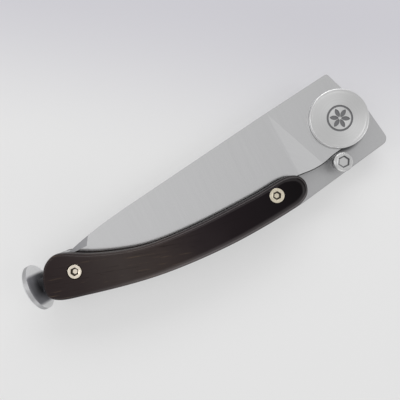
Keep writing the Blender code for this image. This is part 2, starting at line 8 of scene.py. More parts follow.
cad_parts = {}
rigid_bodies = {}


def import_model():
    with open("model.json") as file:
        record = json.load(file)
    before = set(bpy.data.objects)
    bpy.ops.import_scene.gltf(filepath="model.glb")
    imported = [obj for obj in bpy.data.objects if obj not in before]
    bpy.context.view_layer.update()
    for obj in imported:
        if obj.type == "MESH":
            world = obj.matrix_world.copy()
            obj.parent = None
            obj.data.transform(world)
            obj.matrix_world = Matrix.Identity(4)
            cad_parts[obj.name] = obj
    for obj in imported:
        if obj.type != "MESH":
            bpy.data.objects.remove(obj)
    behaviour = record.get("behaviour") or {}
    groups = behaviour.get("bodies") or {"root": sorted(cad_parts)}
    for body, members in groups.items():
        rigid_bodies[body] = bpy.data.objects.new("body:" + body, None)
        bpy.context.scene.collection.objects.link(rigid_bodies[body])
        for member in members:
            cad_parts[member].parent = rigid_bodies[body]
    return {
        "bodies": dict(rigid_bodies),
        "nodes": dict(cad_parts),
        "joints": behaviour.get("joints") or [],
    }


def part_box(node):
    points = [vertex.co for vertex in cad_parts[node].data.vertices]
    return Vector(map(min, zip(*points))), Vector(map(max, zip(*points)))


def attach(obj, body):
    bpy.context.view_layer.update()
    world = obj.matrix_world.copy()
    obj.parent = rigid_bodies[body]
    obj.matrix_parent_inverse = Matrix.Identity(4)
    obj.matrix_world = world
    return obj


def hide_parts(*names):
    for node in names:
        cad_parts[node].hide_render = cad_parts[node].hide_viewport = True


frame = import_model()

mm = 0.001
framePieces = set(frame["nodes"].values()) | set(frame["bodies"].values())
for old in list(bpy.data.objects):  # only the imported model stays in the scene
    if old not in framePieces:
        bpy.data.objects.remove(old)
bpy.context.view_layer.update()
pivot = Vector(frame["joints"][0]["pos_m"])  # the blade turns here, and the outlines are drawn around it
print("frame loaded")

weldDistance = 0.002 * mm
flatAngle = math.radians(0.3)  # packed faces that meet flatter than this become one
sharpAngle = math.radians(30)
fineRelief = 0.01 * mm  # depth of grinding and turning marks
softRelief = 0.02 * mm  # depth of the clouds on polished metal, and of pores


# Nodes and colours

def linear(hexColour):
    # sRGB hex to linear red, green, blue and alpha
    channels = [int(hexColour[i:i + 2], 16) / 255 for i in (1, 3, 5)]
    return [c / 12.92 if c <= 0.04045 else ((c + 0.055) / 1.055) ** 2.4 for c in channels] + [1.0]


def addNode(tree, kind, inputs=None, **settings):
    # each input is linked to a socket or set to a value
    node = tree.nodes.new(kind)
    for name, value in settings.items():
        setattr(node, name, value)
    for name, value in (inputs or {}).items():
        if isinstance(value, bpy.types.NodeSocket):
            tree.links.new(value, node.inputs[name])
        else:
            node.inputs[name].default_value = value
    return node


def startMaterial(name):
    material = bpy.data.materials.new(name)
    material.use_nodes = True
    material.node_tree.nodes.clear()
    return material, material.node_tree


def closeMaterial(tree, shader):
    addNode(tree, "ShaderNodeOutputMaterial", {"Surface": shader.outputs["BSDF"]})


def place(tree, scale=(1, 1, 1), turn=0.0, origin=(0, 0, 0)):
    # position on the object in metres, turned about Z and stretched
    spot = addNode(tree, "ShaderNodeTexCoord").outputs["Object"]
    centred = addNode(tree, "ShaderNodeVectorMath", {0: spot, 1: origin}, operation="SUBTRACT").outputs[0]
    turned = addNode(tree, "ShaderNodeVectorRotate", {
        "Vector": centred, "Angle": turn}, rotation_type="Z_AXIS").outputs[0]
    return addNode(tree, "ShaderNodeVectorMath", {0: turned, 1: scale}, operation="MULTIPLY").outputs[0]


def facing(tree):
    # which way the surface looks, as X, Y and Z
    normal = addNode(tree, "ShaderNodeNewGeometry").outputs["Normal"]
    return addNode(tree, "ShaderNodeSeparateXYZ", {"Vector": normal}).outputs


def fillRamp(ramp, stops):
    # stops are places on the ramp with their colours
    elements = ramp.color_ramp.elements
    for element, (spot, colour) in zip(elements, (stops[0], stops[-1])):
        element.position, element.color = spot, linear(colour)
    for spot, colour in stops[1:-1]:
        elements.new(spot).color = linear(colour)


def perMetre(spacing):
    return 1 / (spacing * mm)


# Materials

groundSteel = {
    "colour": "#D4D4D5", "shade": "#CCCCCD", "roughness": (0.14, 0.19),
    "lineSpacing": 0.3, "lineLength": 14, "lineTurn": 0, "bump": 0.05,
}
# the ramp's cross grind turns another way; its slightly paler colour is painted light, for the brighter
# reflection of its facet
rampSteel = {
    "colour": "#D8D8D9", "shade": "#D1D1D2", "roughness": (0.22, 0.28),
    "lineSpacing": 0.3, "lineLength": 14, "lineTurn": math.radians(-40), "bump": 0.05,
}
# the tip bevel's coarse grind turns another way; its much darker colour is a painted shade, for the dim
# reflection of its facet
paintedShadeTipBevelSteel = {
    "colour": "#929294", "shade": "#858587", "roughness": (0.38, 0.46),
    "lineSpacing": 0.3, "lineLength": 6, "lineTurn": math.radians(60), "bump": 0.05,
}


def makeSatinGroundStainless(name, s):
    # satin-ground stainless: fine lines across the blade that soften what it mirrors.
    # Real grit lines are about 0.03 mm apart, and are drawn ten times as coarse so that they show.
    material, tree = startMaterial(name)
    lengthwise = perMetre(s["lineLength"])
    lines = addNode(tree, "ShaderNodeTexNoise", {
        "Vector": place(tree, (perMetre(s["lineSpacing"]), lengthwise, lengthwise), turn=s["lineTurn"]),
        "Scale": 1.0, "Detail": 3.0, "Roughness": 0.6})
    tone = addNode(tree, "ShaderNodeMix", {
        "Factor": lines.outputs[0], 6: linear(s["shade"]), 7: linear(s["colour"])}, data_type="RGBA")
    rough = addNode(tree, "ShaderNodeMapRange", {
        "Value": lines.outputs[0], "To Min": s["roughness"][0], "To Max": s["roughness"][1]})
    bump = addNode(tree, "ShaderNodeBump", {
        "Height": lines.outputs[0], "Strength": s["bump"], "Distance": fineRelief})
    shader = addNode(tree, "ShaderNodeBsdfPrincipled", {
        "Base Color": tone.outputs[2], "Metallic": 1.0, "Roughness": rough.outputs[0],
        "Normal": bump.outputs[0]})
    closeMaterial(tree, shader)
    return material


turnedSteel = {
    "colour": "#D0D0D0", "shade": "#C8C8C8", "roughness": 0.36, "anisotropy": 0.45,
    "ringSpacing": 0.35, "bump": 0.04,
}


def makeTurnedStainless(name, s, centre):
    # face-turned stainless: rings round the axis that pull highlights out into a fan.
    # The tool marks are about 0.08 mm apart, and are drawn coarser so that they show.
    material, tree = startMaterial(name)
    flat = place(tree, (1, 1, 0), origin=centre)
    radius = addNode(tree, "ShaderNodeVectorMath", {0: flat}, operation="LENGTH").outputs["Value"]
    rings = addNode(tree, "ShaderNodeTexNoise", {
        "W": addNode(tree, "ShaderNodeMath", {0: radius, 1: perMetre(s["ringSpacing"])},
                     operation="MULTIPLY").outputs[0],
        "Scale": 1.0, "Detail": 3.0}, noise_dimensions="1D")
    tone = addNode(tree, "ShaderNodeMix", {
        "Factor": rings.outputs[0], 6: linear(s["shade"]), 7: linear(s["colour"])}, data_type="RGBA")
    bump = addNode(tree, "ShaderNodeBump", {
        "Height": rings.outputs[0], "Strength": s["bump"], "Distance": fineRelief})
    shader = addNode(tree, "ShaderNodeBsdfPrincipled", {
        "Base Color": tone.outputs[2], "Metallic": 1.0, "Roughness": s["roughness"],
        "Anisotropic": s["anisotropy"], "Anisotropic Rotation": 0.25,  # spread across the rings
        "Tangent": addNode(tree, "ShaderNodeTangent", direction_type="RADIAL", axis="Z").outputs[0],
        "Normal": bump.outputs[0]})
    closeMaterial(tree, shader)
    return material


tumbledSteel = {  # tumbled: a soft grey sheen with no direction
    "colour": "#B4B4B5", "shade": "#AAAAAB", "roughness": (0.42, 0.48), "grain": 0.5, "bump": 0.06,
}
rimSteel = {  # worn satin: greyer and less even
    "colour": "#BBBBBC", "shade": "#A4A4A6", "roughness": (0.42, 0.5), "grain": 0.7, "bump": 0.1,
}
paintedLightEdgeSteel = {  # chamfered and matt; its pale base is painted light: a bright line round the disc's rim, and shade lifted on screw shanks
    "colour": "#EAEAEA", "shade": "#E0E0E0", "roughness": (0.48, 0.54), "grain": 0.7, "bump": 0.04,
}
screwSteel = {  # machined: a dull gleam
    "colour": "#C8C8C8", "shade": "#BDBDBD", "roughness": (0.34, 0.42), "grain": 0.5, "bump": 0.04,
}
dullNickel = {  # handled nickel silver: warm, and clouded where fingers rub it
    "colour": "#F8F0DE", "shade": "#BCB199", "roughness": (0.24, 0.36), "grain": 0.35, "bump": 0.07,
}
nickelSilver = {  # polished nickel silver: warm and bright
    "colour": "#F0E8DB", "shade": "#E2D6C2", "roughness": (0.16, 0.26), "grain": 0.6, "bump": 0.04,
}
rolledBronze = {  # rolled phosphor bronze: brown and dull
    "colour": "#B98D4F", "shade": "#9C7038", "roughness": (0.3, 0.4), "grain": 0.8, "bump": 0.05,
}
# a painted shadow of the pivot disc on the plate's front, round the pivot
discShadowOnPlate = {
    "colour": "#545456", "inner": 8.4, "outer": 9.9,  # full within the first radius, none beyond the second
    "facing": 0.5,  # only faces whose normal rises more than this have it
}


def makeMottledMetal(name, s, paintedShade=None):
    # tumbled or polished metal: an even sheen that small, soft clouds break up. Grain is their size in mm.
    # A painted shadow of the disc darkens the plate's front faces round the pivot, just past the disc's rim.
    material, tree = startMaterial(name)
    clouds = addNode(tree, "ShaderNodeTexNoise", {
        "Vector": place(tree), "Scale": perMetre(s["grain"]), "Detail": 4.0, "Roughness": 0.6})
    tone = addNode(tree, "ShaderNodeMix", {
        "Factor": clouds.outputs[0], 6: linear(s["shade"]), 7: linear(s["colour"])}, data_type="RGBA")
    if paintedShade:
        # painted shadow of the disc, on front faces near the pivot
        reach = addNode(tree, "ShaderNodeVectorMath", {
            0: place(tree, (1, 1, 0), origin=(pivot.x, pivot.y, 0))}, operation="LENGTH").outputs["Value"]
        nearDiscShade = addNode(tree, "ShaderNodeMapRange", {
            "Value": reach, "From Min": paintedShade["outer"] * mm, "From Max": paintedShade["inner"] * mm},
            interpolation_type="SMOOTHSTEP")
        front = addNode(tree, "ShaderNodeMath", {
            0: facing(tree)["Z"], 1: paintedShade["facing"]}, operation="GREATER_THAN")
        held = addNode(tree, "ShaderNodeMath", {
            0: nearDiscShade.outputs[0], 1: front.outputs[0]}, operation="MULTIPLY")
        tone = addNode(tree, "ShaderNodeMix", {
            "Factor": held.outputs[0], 6: tone.outputs[2], 7: linear(paintedShade["colour"])}, data_type="RGBA")
    rough = addNode(tree, "ShaderNodeMapRange", {
        "Value": clouds.outputs[0], "To Min": s["roughness"][0], "To Max": s["roughness"][1]})
    bump = addNode(tree, "ShaderNodeBump", {
        "Height": clouds.outputs[0], "Strength": s["bump"], "Distance": softRelief})
    shader = addNode(tree, "ShaderNodeBsdfPrincipled", {
        "Base Color": tone.outputs[2], "Metallic": 1.0, "Roughness": rough.outputs[0],
        "Normal": bump.outputs[0]})
    closeMaterial(tree, shader)
    return material


tamperFoot = {
    "radius": 6.7, "rimFrom": 0.8,  # its rim begins at this share of the radius
    "rimFacing": 0.5,  # the rim's faces look less than this along the knife
}
polishedSteel = {
    "colour": "#E2E2E3", "shade": "#DADADB", "roughness": (0.3, 0.36), "ringSpacing": 0.4, "bump": 0.03,
    # painted shade on the foot's inner face and neck, standing in for the mirrored handle and the gap's shade
    "paintedFaceShade": "#86868A", "paintedNeckShade": "#303032", "paintedNeckShadeRoughness": 0.62,
    "paintedShadeSpan": (-4.2, 3.1), "paintedShadeFade": 1.2,  # the painted shade's band across the foot, from below its axis to above it
    "neckRadius": 2.8, "faceRadius": 5.4,  # darkest painted shade at the neck, and lighter painted shade from the second radius on
    "pressing": -0.5,  # faces that look further than this towards the butt stay free of painted shade
}


def makeTamperSteel(name, s, centre):
    # turned stainless with a soft polish: rings round the tamper's axis. Painted shade darkens a band of the
    # foot's face and its neck, for the dark handle it mirrors and the gap's shade. The tool marks are drawn
    # coarser than they are, to show.
    material, tree = startMaterial(name)
    radius = addNode(tree, "ShaderNodeVectorMath", {
        0: place(tree, (0, 1, 1), origin=centre)}, operation="LENGTH").outputs["Value"]
    rings = addNode(tree, "ShaderNodeTexNoise", {
        "W": addNode(tree, "ShaderNodeMath", {0: radius, 1: perMetre(s["ringSpacing"])},
                     operation="MULTIPLY").outputs[0],
        "Scale": 1.0, "Detail": 3.0}, noise_dimensions="1D")
    bright = addNode(tree, "ShaderNodeMix", {
        "Factor": rings.outputs[0], 6: linear(s["shade"]), 7: linear(s["colour"])}, data_type="RGBA")
    # painted shade: a band across the foot, darkest at the neck; the outer face stays free of it
    across = addNode(tree, "ShaderNodeSeparateXYZ", {"Vector": place(tree, origin=centre)}).outputs["Y"]
    below, above = (edge * mm for edge in s["paintedShadeSpan"])
    halfSpan = (above - below) / 2
    middle = addNode(tree, "ShaderNodeMath", {0: across, 1: (below + above) / 2}, operation="SUBTRACT")
    apart = addNode(tree, "ShaderNodeMath", {0: middle.outputs[0]}, operation="ABSOLUTE")
    pastPaintedShade = addNode(tree, "ShaderNodeMapRange", {
        "Value": apart.outputs[0], "From Min": halfSpan, "From Max": halfSpan + s["paintedShadeFade"] * mm},
        interpolation_type="SMOOTHSTEP")
    pressing = addNode(tree, "ShaderNodeMath", {  # the foot's outer face
        0: facing(tree)["X"], 1: s["pressing"]}, operation="LESS_THAN")
    unshaded = addNode(tree, "ShaderNodeMath", {
        0: pastPaintedShade.outputs[0], 1: pressing.outputs[0]}, operation="MAXIMUM")
    fromNeck = addNode(tree, "ShaderNodeMapRange", {
        "Value": radius, "From Min": s["neckRadius"] * mm, "From Max": s["faceRadius"] * mm})
    paintedShadeTone = addNode(tree, "ShaderNodeMix", {
        "Factor": fromNeck.outputs[0], 6: linear(s["paintedNeckShade"]), 7: linear(s["paintedFaceShade"])}, data_type="RGBA")
    tone = addNode(tree, "ShaderNodeMix", {
        "Factor": unshaded.outputs[0], 6: paintedShadeTone.outputs[2], 7: bright.outputs[2]}, data_type="RGBA")
    turned = addNode(tree, "ShaderNodeMapRange", {
        "Value": rings.outputs[0], "To Min": s["roughness"][0], "To Max": s["roughness"][1]})
    rough = addNode(tree, "ShaderNodeMix", {
        "Factor": unshaded.outputs[0], "A": s["paintedNeckShadeRoughness"], "B": turned.outputs[0]}, data_type="FLOAT")
    bump = addNode(tree, "ShaderNodeBump", {
        "Height": rings.outputs[0], "Strength": s["bump"], "Distance": softRelief})
    shader = addNode(tree, "ShaderNodeBsdfPrincipled", {
        "Base Color": tone.outputs[2], "Metallic": 1.0, "Roughness": rough.outputs[0],
        "Normal": bump.outputs[0]})
    closeMaterial(tree, shader)
    return material


oiledEbony = {
    # tone along the handle, from the butt to the nose: place in mm and colour
    "tones": [(-50, "#2B2323"), (-42, "#2F2727"), (-28, "#3D3634"), (-18, "#38302E"), (-6, "#272022"),
              (4, "#1B1417"), (12, "#161013"), (26, "#080506")],
    "roughness": (0.12, 0.24), "specular": 0.09,
    "grainAngle": math.radians(-17), "streakWidth": 0.5, "streakLength": 8, "streakStrength": 0.6,
    "paleStreak": "#6E5D49", "darkStreak": "#120C0A",
    "paleRange": (0.62, 0.78), "darkRange": (0.4, 0.2),  # a streak comes in between these values of the noise
    "paleFade": (0.6, 0.42),  # pale streaks come in between these shares of the handle, counted from the butt
    # painted sheen on the rounded edge: how much paler it is, by how far its normal rises, from steep to
    # nearly flat
    "paintedSheen": [(0.66, "#060505"), (0.76, "#454242"), (0.85, "#454242"), (0.9, "#080707"), (0.93, "#080707"),
               (0.96, "#292727"), (0.985, "#292727"), (0.998, "#000000")],
    "paintedSheenShares": (0.3, 0.52), "paintedSheenAtButt": 0.12,  # weak up to the first share, and full from the second
    "bellySheen": "#4A4747",  # painted sheen: how much paler the edge is along the belly, where it faces down
    "bellyFacing": (-0.15, -0.5), "bellyShares": (0.1, 0.4),
    "poreWidth": 0.16, "poreLength": 3.0, "cloud": 6, "wander": 7, "bump": 0.08,
}
# the upright sides, sanded and less oiled
sandedSides = {**oiledEbony, "roughness": (0.45, 0.55), "specular": 0.25, "bellySheen": "#000000"}


def makeOiledEbony(name, s):
    # oiled ebony: brown-black at the butt and near black at the fore end, with short streaks along the grain.
    # The oil gives a low lustre. Pores are about 0.05 mm wide and are drawn three times as wide.
    # Its rounded edges carry a painted sheen, paler by how far their normal rises, and most along the belly.
    material, tree = startMaterial(name)
    spot = place(tree)
    along = addNode(tree, "ShaderNodeSeparateXYZ", {"Vector": spot}).outputs["X"]
    clouds = addNode(tree, "ShaderNodeTexNoise", {
        "Vector": spot, "Scale": perMetre(s["cloud"]), "Detail": 3.0})
    shifted = addNode(tree, "ShaderNodeMath", {
        0: clouds.outputs[0], 1: s["wander"] * mm, 2: along}, operation="MULTIPLY_ADD")
    first, last = s["tones"][0][0], s["tones"][-1][0]
    share = addNode(tree, "ShaderNodeMapRange", {
        "Value": shifted.outputs[0], "From Min": (first + s["wander"] / 2) * mm,
        "From Max": (last + s["wander"] / 2) * mm})
    ramp = addNode(tree, "ShaderNodeValToRGB", {"Fac": share.outputs[0]})
    fillRamp(ramp, [((spotAlong - first) / (last - first), colour) for spotAlong, colour in s["tones"]])
    lengthwise = perMetre(s["streakLength"])
    streaks = addNode(tree, "ShaderNodeTexNoise", {
        "Vector": place(tree, (lengthwise, perMetre(s["streakWidth"]), lengthwise), turn=-s["grainAngle"]),
        "Scale": 1.0, "Detail": 3.0, "Roughness": 0.6})
    brown = addNode(tree, "ShaderNodeMapRange", {  # the pale streaks fade towards the near-black fore end
        "Value": share.outputs[0], "From Min": s["paleFade"][0], "From Max": s["paleFade"][1]},
        interpolation_type="SMOOTHSTEP")
    pale = addNode(tree, "ShaderNodeMapRange", {
        "Value": streaks.outputs[0], "From Min": s["paleRange"][0], "From Max": s["paleRange"][1],
        "To Max": s["streakStrength"]})
    faded = addNode(tree, "ShaderNodeMath", {0: pale.outputs[0], 1: brown.outputs[0]}, operation="MULTIPLY")
    paleGrain = addNode(tree, "ShaderNodeMix", {
        "Factor": faded.outputs[0], 6: ramp.outputs[0], 7: linear(s["paleStreak"])}, data_type="RGBA")
    dark = addNode(tree, "ShaderNodeMapRange", {
        "Value": streaks.outputs[0], "From Min": s["darkRange"][0], "From Max": s["darkRange"][1],
        "To Max": s["streakStrength"]})
    grain = addNode(tree, "ShaderNodeMix", {
        "Factor": dark.outputs[0], 6: paleGrain.outputs[2], 7: linear(s["darkStreak"])}, data_type="RGBA")
    looks = facing(tree)
    # painted sheen: the rounded edge is paler by how far its normal rises
    steep = addNode(tree, "ShaderNodeMath", {0: looks["Z"]}, operation="ABSOLUTE")
    paintedSheenRamp = addNode(tree, "ShaderNodeValToRGB", {"Fac": steep.outputs[0]})
    fillRamp(paintedSheenRamp, s["paintedSheen"])
    fore = addNode(tree, "ShaderNodeMapRange", {
        "Value": share.outputs[0], "From Min": s["paintedSheenShares"][0], "From Max": s["paintedSheenShares"][1],
        "To Min": s["paintedSheenAtButt"], "To Max": 1.0})
    withSheen = addNode(tree, "ShaderNodeMix", {
        "Factor": fore.outputs[0], 6: grain.outputs[2], 7: paintedSheenRamp.outputs[0]}, data_type="RGBA",
        blend_type="ADD")
    # painted sheen along the belly, where the edge faces down
    belly = addNode(tree, "ShaderNodeMapRange", {
        "Value": looks["Y"], "From Min": s["bellyFacing"][0], "From Max": s["bellyFacing"][1]},
        interpolation_type="SMOOTHSTEP")
    ahead = addNode(tree, "ShaderNodeMapRange", {
        "Value": share.outputs[0], "From Min": s["bellyShares"][0], "From Max": s["bellyShares"][1]})
    bellySheenShare = addNode(tree, "ShaderNodeMath", {
        0: belly.outputs[0], 1: ahead.outputs[0]}, operation="MULTIPLY")
    withSheen = addNode(tree, "ShaderNodeMix", {
        "Factor": bellySheenShare.outputs[0], 6: withSheen.outputs[2], 7: linear(s["bellySheen"])}, data_type="RGBA",
        blend_type="ADD")
    lengthwise = perMetre(s["poreLength"])
    pores = addNode(tree, "ShaderNodeTexNoise", {
        "Vector": place(tree, (lengthwise, perMetre(s["poreWidth"]), lengthwise), turn=-s["grainAngle"]),
        "Scale": 1.0, "Detail": 2.0})
    rough = addNode(tree, "ShaderNodeMapRange", {
        "Value": pores.outputs[0], "To Min": s["roughness"][0], "To Max": s["roughness"][1]})
    bump = addNode(tree, "ShaderNodeBump", {
        "Height": pores.outputs[0], "Strength": s["bump"], "Distance": softRelief})
    shader = addNode(tree, "ShaderNodeBsdfPrincipled", {
        "Base Color": withSheen.outputs[2], "Roughness": rough.outputs[0], "Specular IOR Level": s["specular"],
        "Normal": bump.outputs[0]})
    closeMaterial(tree, shader)
    return material


# the etched grey of the disc's mark, which also serves as painted shade on the stop screw's socket walls
etchedMarkAndSocketShade = {"colour": "#727274", "roughness": 0.55, "metallic": 0.6, "grain": 0.3, "bump": 0.2}
# painted shade on the scale screws' socket walls, where shade falls in the recess
paintedSocketShade = {**etchedMarkAndSocketShade, "colour": "#4C443A", "roughness": 0.45, "grain": 0.25}
# a painted shadow: the near-black line along the tang's lower edge
paintedShadowLine = {**etchedMarkAndSocketShade, "colour": "#1C1C1E", "roughness": 0.7}


def makeDarkenedSteel(name, s):
    # etched metal, and the painted shade in sockets and along the tang's edge: a matt grey that holds hardly
    # any reflection
    material, tree = startMaterial(name)
    clouds = addNode(tree, "ShaderNodeTexNoise", {
        "Vector": place(tree), "Scale": perMetre(s["grain"]), "Detail": 3.0})
    bump = addNode(tree, "ShaderNodeBump", {
        "Height": clouds.outputs[0], "Strength": s["bump"], "Distance": fineRelief})
    shader = addNode(tree, "ShaderNodeBsdfPrincipled", {
        "Base Color": linear(s["colour"]), "Metallic": s["metallic"], "Roughness": s["roughness"],
        "Normal": bump.outputs[0]})
    closeMaterial(tree, shader)
    return material


bladeSteel = makeSatinGroundStainless("satinGroundStainless", groundSteel)
rampFinish = makeSatinGroundStainless("crossGroundPaintedLightStainless", rampSteel)
paintedShadeTipBevelFinish = makeSatinGroundStainless("coarseGroundPaintedShadeStainless", paintedShadeTipBevelSteel)
plateSteel = makeMottledMetal("tumbledStainless", tumbledSteel, discShadowOnPlate)
rimFinish = makeMottledMetal("wornSatinStainless", rimSteel)
paintedLightEdgeFinish = makeMottledMetal("chamferedPaintedLightStainless", paintedLightEdgeSteel)
discSteel = makeTurnedStainless("faceTurnedStainless", turnedSteel, (pivot.x, pivot.y, 0))
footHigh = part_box("tamper")[1]
footRadius = tamperFoot["radius"] * mm
tamperAxis = (0, footHigh.y - footRadius, footHigh.z - footRadius)
tamperSteel = makeTamperSteel("turnedPolishedStainless", polishedSteel, tamperAxis)
screwMetal = makeMottledMetal("machinedStainless", screwSteel)
nickel = makeMottledMetal("polishedNickelSilver", nickelSilver)
wornNickel = makeMottledMetal("handledNickelSilver", dullNickel)
bronze = makeMottledMetal("rolledPhosphorBronze", rolledBronze)
ebony = makeOiledEbony("oiledEbony", oiledEbony)
sandedEbony = makeOiledEbony("sandedEbony", sandedSides)
etchAndSocketShadeSteel = makeDarkenedSteel("etchedAndSocketShadeStainless", etchedMarkAndSocketShade)
socketShadeSteel = makeDarkenedSteel("paintedSocketShadeStainless", paintedSocketShade)
paintedShadowLineSteel = makeDarkenedSteel("paintedShadowLineStainless", paintedShadowLine)
print("materials made")


# Meshes

def addPiece(name, mesh, material, body, nodes):
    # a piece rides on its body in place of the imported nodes
    piece = bpy.data.objects.new(name, mesh)
    bpy.context.scene.collection.objects.link(piece)
    mesh.materials.append(material)
    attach(piece, body)
    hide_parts(*nodes)
    return piece


def smoothFaces(mesh):
    mesh.shade_smooth()
    mesh.set_sharp_from_angle(angle=sharpAngle)


def weighNormals(piece):
    # large flat faces stay flat, and the shading turns only in the rounds beside them
    weighted = piece.modifiers.new("flatFaces", "WEIGHTED_NORMAL")
    weighted.keep_sharp = True
    weighted.weight = 100


def weldedCopy(node, name, material, body, edge=0.0):
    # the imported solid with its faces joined, and smooth round its curves. Edge is the width of its broken
    # edges in mm.
    mesh = bpy.data.meshes.new(name)
    work = bmesh.new()
    work.from_mesh(frame["nodes"][node].data)
    bmesh.ops.remove_doubles(work, verts=work.verts, dist=weldDistance)
    bmesh.ops.dissolve_limit(work, angle_limit=flatAngle, verts=work.verts, edges=work.edges)
    bmesh.ops.recalc_face_normals(work, faces=work.faces)
    work.to_mesh(mesh)
    work.free()
    smoothFaces(mesh)
    piece = addPiece(name, mesh, material, body, [node])
    if edge:
        bevel = piece.modifiers.new("brokenEdges", "BEVEL")
        bevel.width = edge * mm
        bevel.segments = 2
        bevel.limit_method = "ANGLE"
        bevel.angle_limit = sharpAngle
    weighNormals(piece)
    return piece


def turnedMesh(name, profile, steps):
    # the profile runs from the axis down the outer side and back to the axis, as (radius, height)
    mesh = bpy.data.meshes.new(name)
    work = bmesh.new()
    turns = [2 * math.pi * i / steps for i in range(steps)]
    rings = []
    for radius, height in profile:
        if radius == 0:
            rings.append([work.verts.new((0, 0, height))])
        else:
            rings.append([work.verts.new((radius * math.cos(turn), radius * math.sin(turn), height))
                          for turn in turns])
    for upper, lower in zip(rings, rings[1:]):
        for i in range(steps):
            j = (i + 1) % steps
            corners = [upper[i % len(upper)], lower[i % len(lower)],
                       lower[j % len(lower)], upper[j % len(upper)]]
            work.faces.new(list(dict.fromkeys(corners)))
    bmesh.ops.recalc_face_normals(work, faces=work.faces)
    work.to_mesh(mesh)
    work.free()
    smoothFaces(mesh)
    return mesh


# Scales

scaleOutline = {
    "buttReach": 93.2, "noseReach": 16.6, "humpRise": 2.1, "bellyDrop": 17.4,
    # from butt to nose and from belly to hump, starting under the nose and running round by the butt
    "shares": [(0.661, 0.0), (0.384, 0.076), (0.125, 0.29), (0.026, 0.407), (0.0, 0.509), (0.009, 0.753),
               (0.039, 0.931), (0.081, 1.0), (0.119, 0.957), (0.205, 0.779), (0.371, 0.555), (0.556, 0.478),
               (0.813, 0.478), (0.953, 0.499), (0.988, 0.427), (1.0, 0.305), (0.987, 0.158), (0.953, 0.076),
               (0.906, 0.046)],
    "steps": 10,
}
scaleEdge = {
    "butt": 0.9, "nose": 1.45, "bellyExtra": 0.6, "noseExtra": 0.65,  # widths of the rounded edge
    "noseReach": 5, "depth": 1.3, "steps": 12, "underBreak": 0.15,
    "sideFacing": 0.15,  # faces whose normal rises less than this are the sanded sides
}


def splinePoint(p0, p1, p2, p3, share):
    # between p1 and p2 on the centripetal curve through four knots
    t1 = (p1 - p0).length ** 0.5
    t2 = t1 + (p2 - p1).length ** 0.5
    t3 = t2 + (p3 - p2).length ** 0.5
    t = t1 + (t2 - t1) * share
    a1 = p0.lerp(p1, t / t1)
    a2 = p1.lerp(p2, (t - t1) / (t2 - t1))
    a3 = p2.lerp(p3, (t - t2) / (t3 - t2))
    return a1.lerp(a2, t / t2).lerp(a2.lerp(a3, (t - t1) / (t3 - t1)), (t - t1) / (t2 - t1))


def outlinePoints(s):
    length = s["buttReach"] - s["noseReach"]
    height = s["bellyDrop"] + s["humpRise"]
    knots = [Vector((x * length - s["buttReach"], y * height - s["bellyDrop"])) * mm + pivot.to_2d()
             for x, y in s["shares"]]
    count = len(knots)
    return [splinePoint(*[knots[(i + k) % count] for k in (-1, 0, 1, 2)], step / s["steps"])
            for i in range(count) for step in range(s["steps"])]


def inwardNormals(points):
    normals = []
    for i in range(len(points)):
        run = (points[(i + 1) % len(points)] - points[i - 1]).normalized()
        normals.append(Vector((run.y, -run.x)))  # the outline runs clockwise seen from above
    return normals


def makeScale(name, node, low, high, up):
    # from the inner face (low) to the outer face (high); up is 1 in front and -1 at the back
    points = outlinePoints(scaleOutline)
    normals = inwardNormals(points)
    e = scaleEdge
    first, last = min(point.x for point in points), max(point.x for point in points)
    widths = []
    for point, normal in zip(points, normals):
        share = (point.x - first) / (last - first)
        below = max(0.0, normal.y) ** 0.5  # an inward normal that points up is on the belly side
        atNose = max(0.0, 1 - (last - point.x) / (e["noseReach"] * mm)) ** 0.5
        extra = max(e["bellyExtra"] * below, e["noseExtra"] * atNose)
        widths.append((e["butt"] + (e["nose"] - e["butt"]) * share + extra) * mm)
    levels = [(low, 1.0, e["underBreak"] * mm), (low + up * e["underBreak"] * mm, 0.0, 0.0)]
    for step in range(e["steps"] + 1):
        angle = math.pi / 2 * step / e["steps"]
        levels.append((high - up * e["depth"] * mm * (1 - math.sin(angle)), 1 - math.cos(angle), None))
    mesh = bpy.data.meshes.new(name)
    work = bmesh.new()
    rings = []
    for height, share, fixed in levels:
        insets = widths if fixed is None else [fixed] * len(points)
        rings.append([work.verts.new((*(point + normal * share * inset), height))
                      for point, normal, inset in zip(points, normals, insets)])
    for lower, upper in zip(rings, rings[1:]):
        for i in range(len(points)):
            j = (i + 1) % len(points)
            work.faces.new((lower[i], lower[j], upper[j], upper[i]))
    work.faces.new(rings[0])
    work.faces.new(rings[-1])
    bmesh.ops.recalc_face_normals(work, faces=work.faces)
    work.to_mesh(mesh)
    work.free()
    smoothFaces(mesh)
    piece = addPiece(name, mesh, ebony, "handle", [node])
    mesh.materials.append(sandedEbony)
    for face in mesh.polygons:
        face.material_index = int(abs(face.normal.z) < e["sideFacing"])
    return piece


def makeCutter(name, mesh, location, finish=None):
    if finish:
        mesh.materials.append(finish)  # the cut faces take it
    cutter = bpy.data.objects.new(name, mesh)
    bpy.context.scene.collection.objects.link(cutter)
    cutter.location = location
    cutter.hide_render = True
    cutter.display_type = "WIRE"
    return cutter


def cut(piece, cutter):
    boolean = piece.modifiers.new(cutter.name, "BOOLEAN")
    boolean.operation = "DIFFERENCE"
    boolean.solver = "EXACT"
    boolean.material_mode = "TRANSFER"
    boolean.object = cutter


